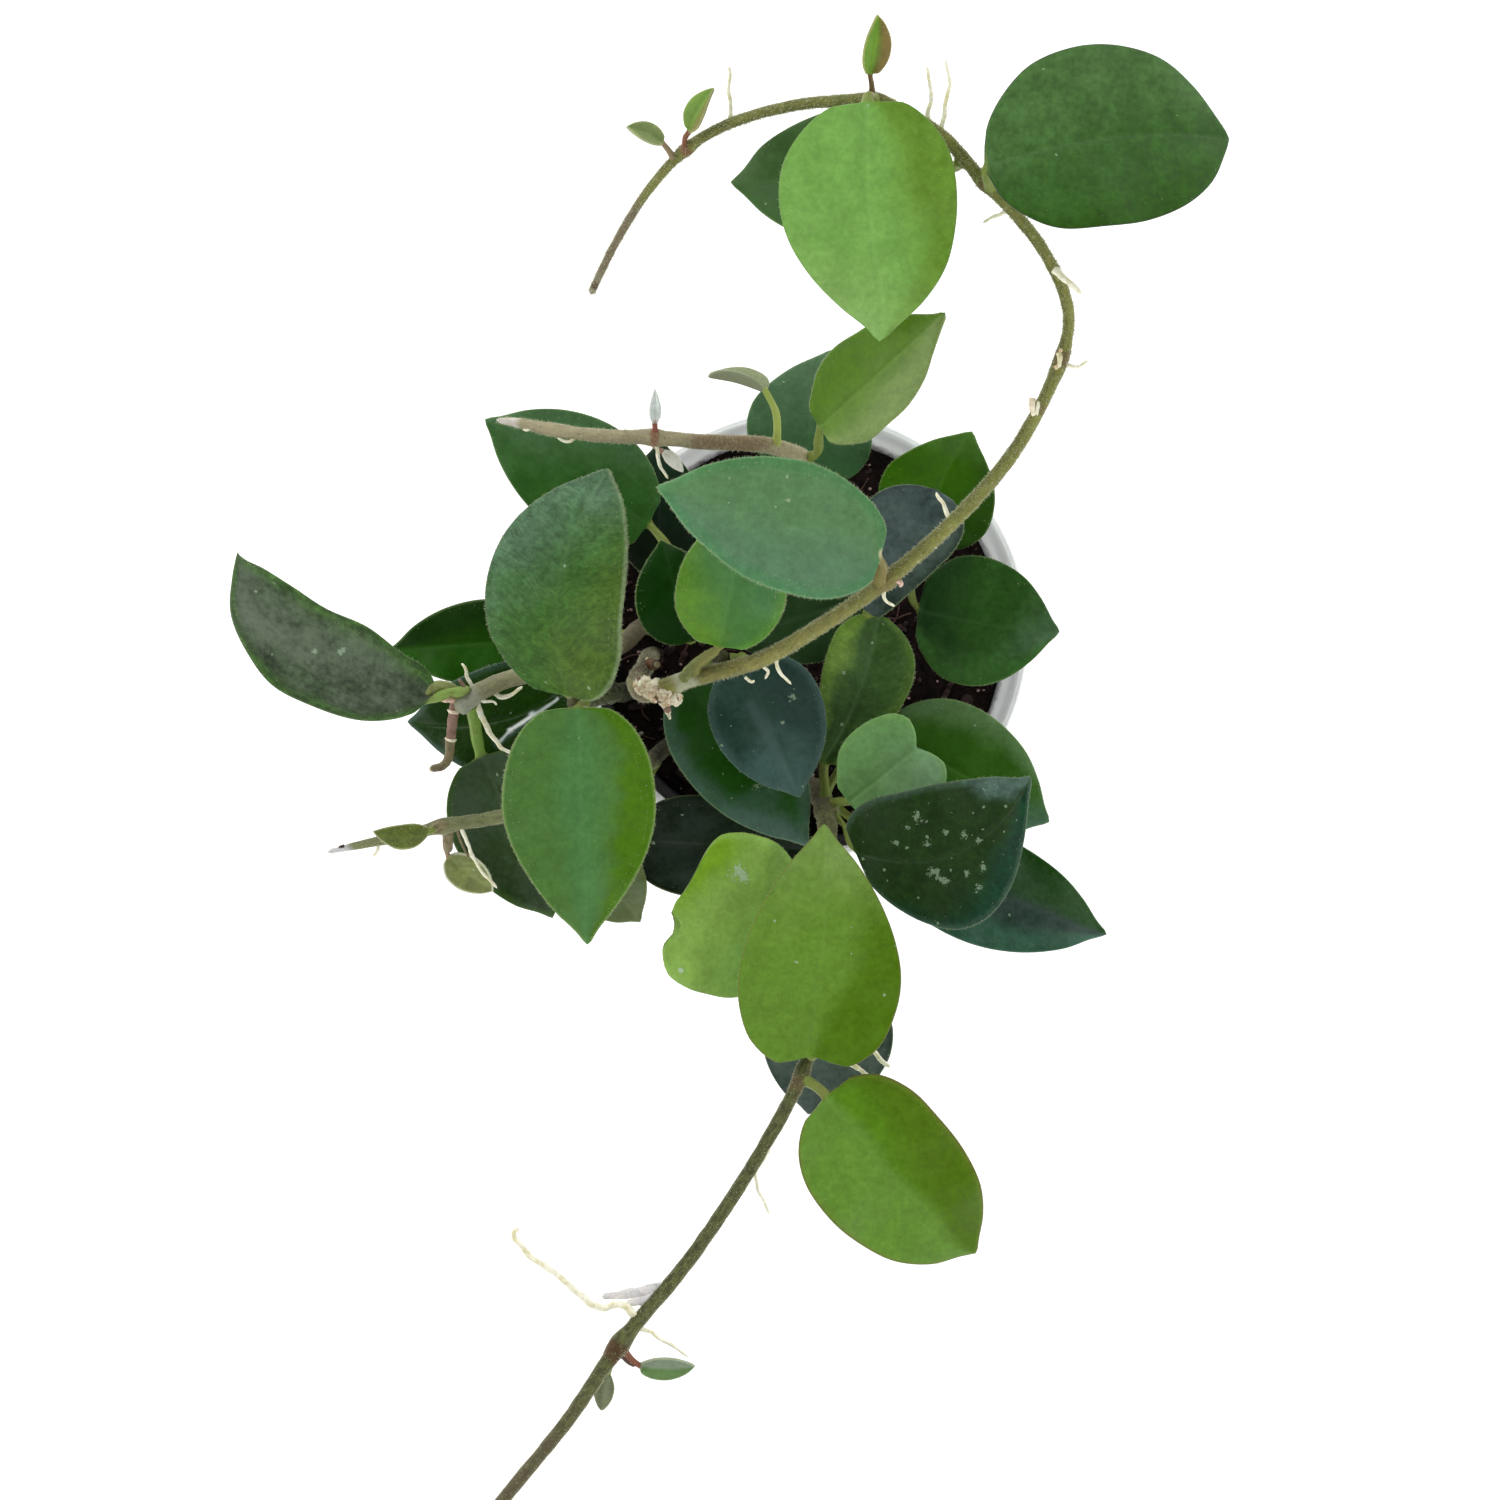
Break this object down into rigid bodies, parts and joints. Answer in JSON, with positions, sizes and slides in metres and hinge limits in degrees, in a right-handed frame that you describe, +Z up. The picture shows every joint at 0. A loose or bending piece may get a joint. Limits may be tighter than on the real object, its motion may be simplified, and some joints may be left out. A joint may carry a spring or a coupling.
{
  "type": "potted trailing hoya",
  "caption": "Young trailing hoya plant with thick oval leaves, looping vines and short aerial roots in a round white nursery pot.",
  "frame": {"origin": "centre of the flat underside of the pot", "axes": "+Z up along the pot's axis; +Y towards the long looping vine; -Y towards the long front vine; +X to the right when looking along +Y"},
  "size_m": [0.2047, 0.2998, 0.2094],
  "materials": {
    "pot": "satin",
    "soil": "matte",
    "vine": "matte",
    "bark": "matte",
    "pale_leaf": "satin",
    "mid_leaf": "satin",
    "blue_leaf": "satin",
    "deep_leaf": "satin",
    "dusk_leaf": "satin"
  },
  "bodies": {
    "root": {"pot": "pot", "soil": "soil", "loop_vine": "vine", "back_vine": "vine", "left_stem": "bark", "low_vine": "vine", "front_vine": "vine", "right_stem": "bark", "back_stem": "bark", "middle_stem": "bark", "crown_stem": "bark", "loop_top_leaf": "pale_leaf", "loop_side_leaf": "mid_leaf", "loop_under_leaf": "deep_leaf", "loop_young_leaf": "mid_leaf", "loop_bud_leaf": "mid_leaf", "loop_end_leaf": "mid_leaf", "blue_leaf": "blue_leaf", "knee_leaf": "mid_leaf", "back_pale_leaf": "pale_leaf", "back_folded_leaf": "blue_leaf", "back_dark_leaf": "dusk_leaf", "back_bud": "blue_leaf", "back_bud_low": "blue_leaf", "far_left_back_leaf": "deep_leaf", "back_inner_leaf": "dusk_leaf", "crown_shade_leaf": "deep_leaf", "right_inner_leaf": "deep_leaf", "back_right_leaf": "deep_leaf", "slate_leaf": "dusk_leaf", "right_leaf": "mid_leaf", "olive_leaf": "mid_leaf", "sage_leaf": "blue_leaf", "right_low_leaf": "deep_leaf", "speckled_leaf": "deep_leaf", "right_front_leaf": "dusk_leaf", "slate_drop_leaf": "dusk_leaf", "bright_deep_leaf": "deep_leaf", "black_leaf": "dusk_leaf", "left_under_leaf": "deep_leaf", "left_gloss_leaf": "dusk_leaf", "tall_left_leaf": "mid_leaf", "low_left_leaf": "mid_leaf", "far_left_leaf": "dusk_leaf", "left_hanging_leaf": "deep_leaf", "low_under_leaf": "deep_leaf", "low_rimmed_leaf": "blue_leaf", "low_end_leaf": "mid_leaf", "front_back_leaf": "pale_leaf", "front_pale_leaf": "pale_leaf", "front_under_leaf": "dusk_leaf", "front_low_leaf": "pale_leaf", "front_bud_leaf": "blue_leaf", "front_end_bud": "blue_leaf"}
  },
  "joints": []
}
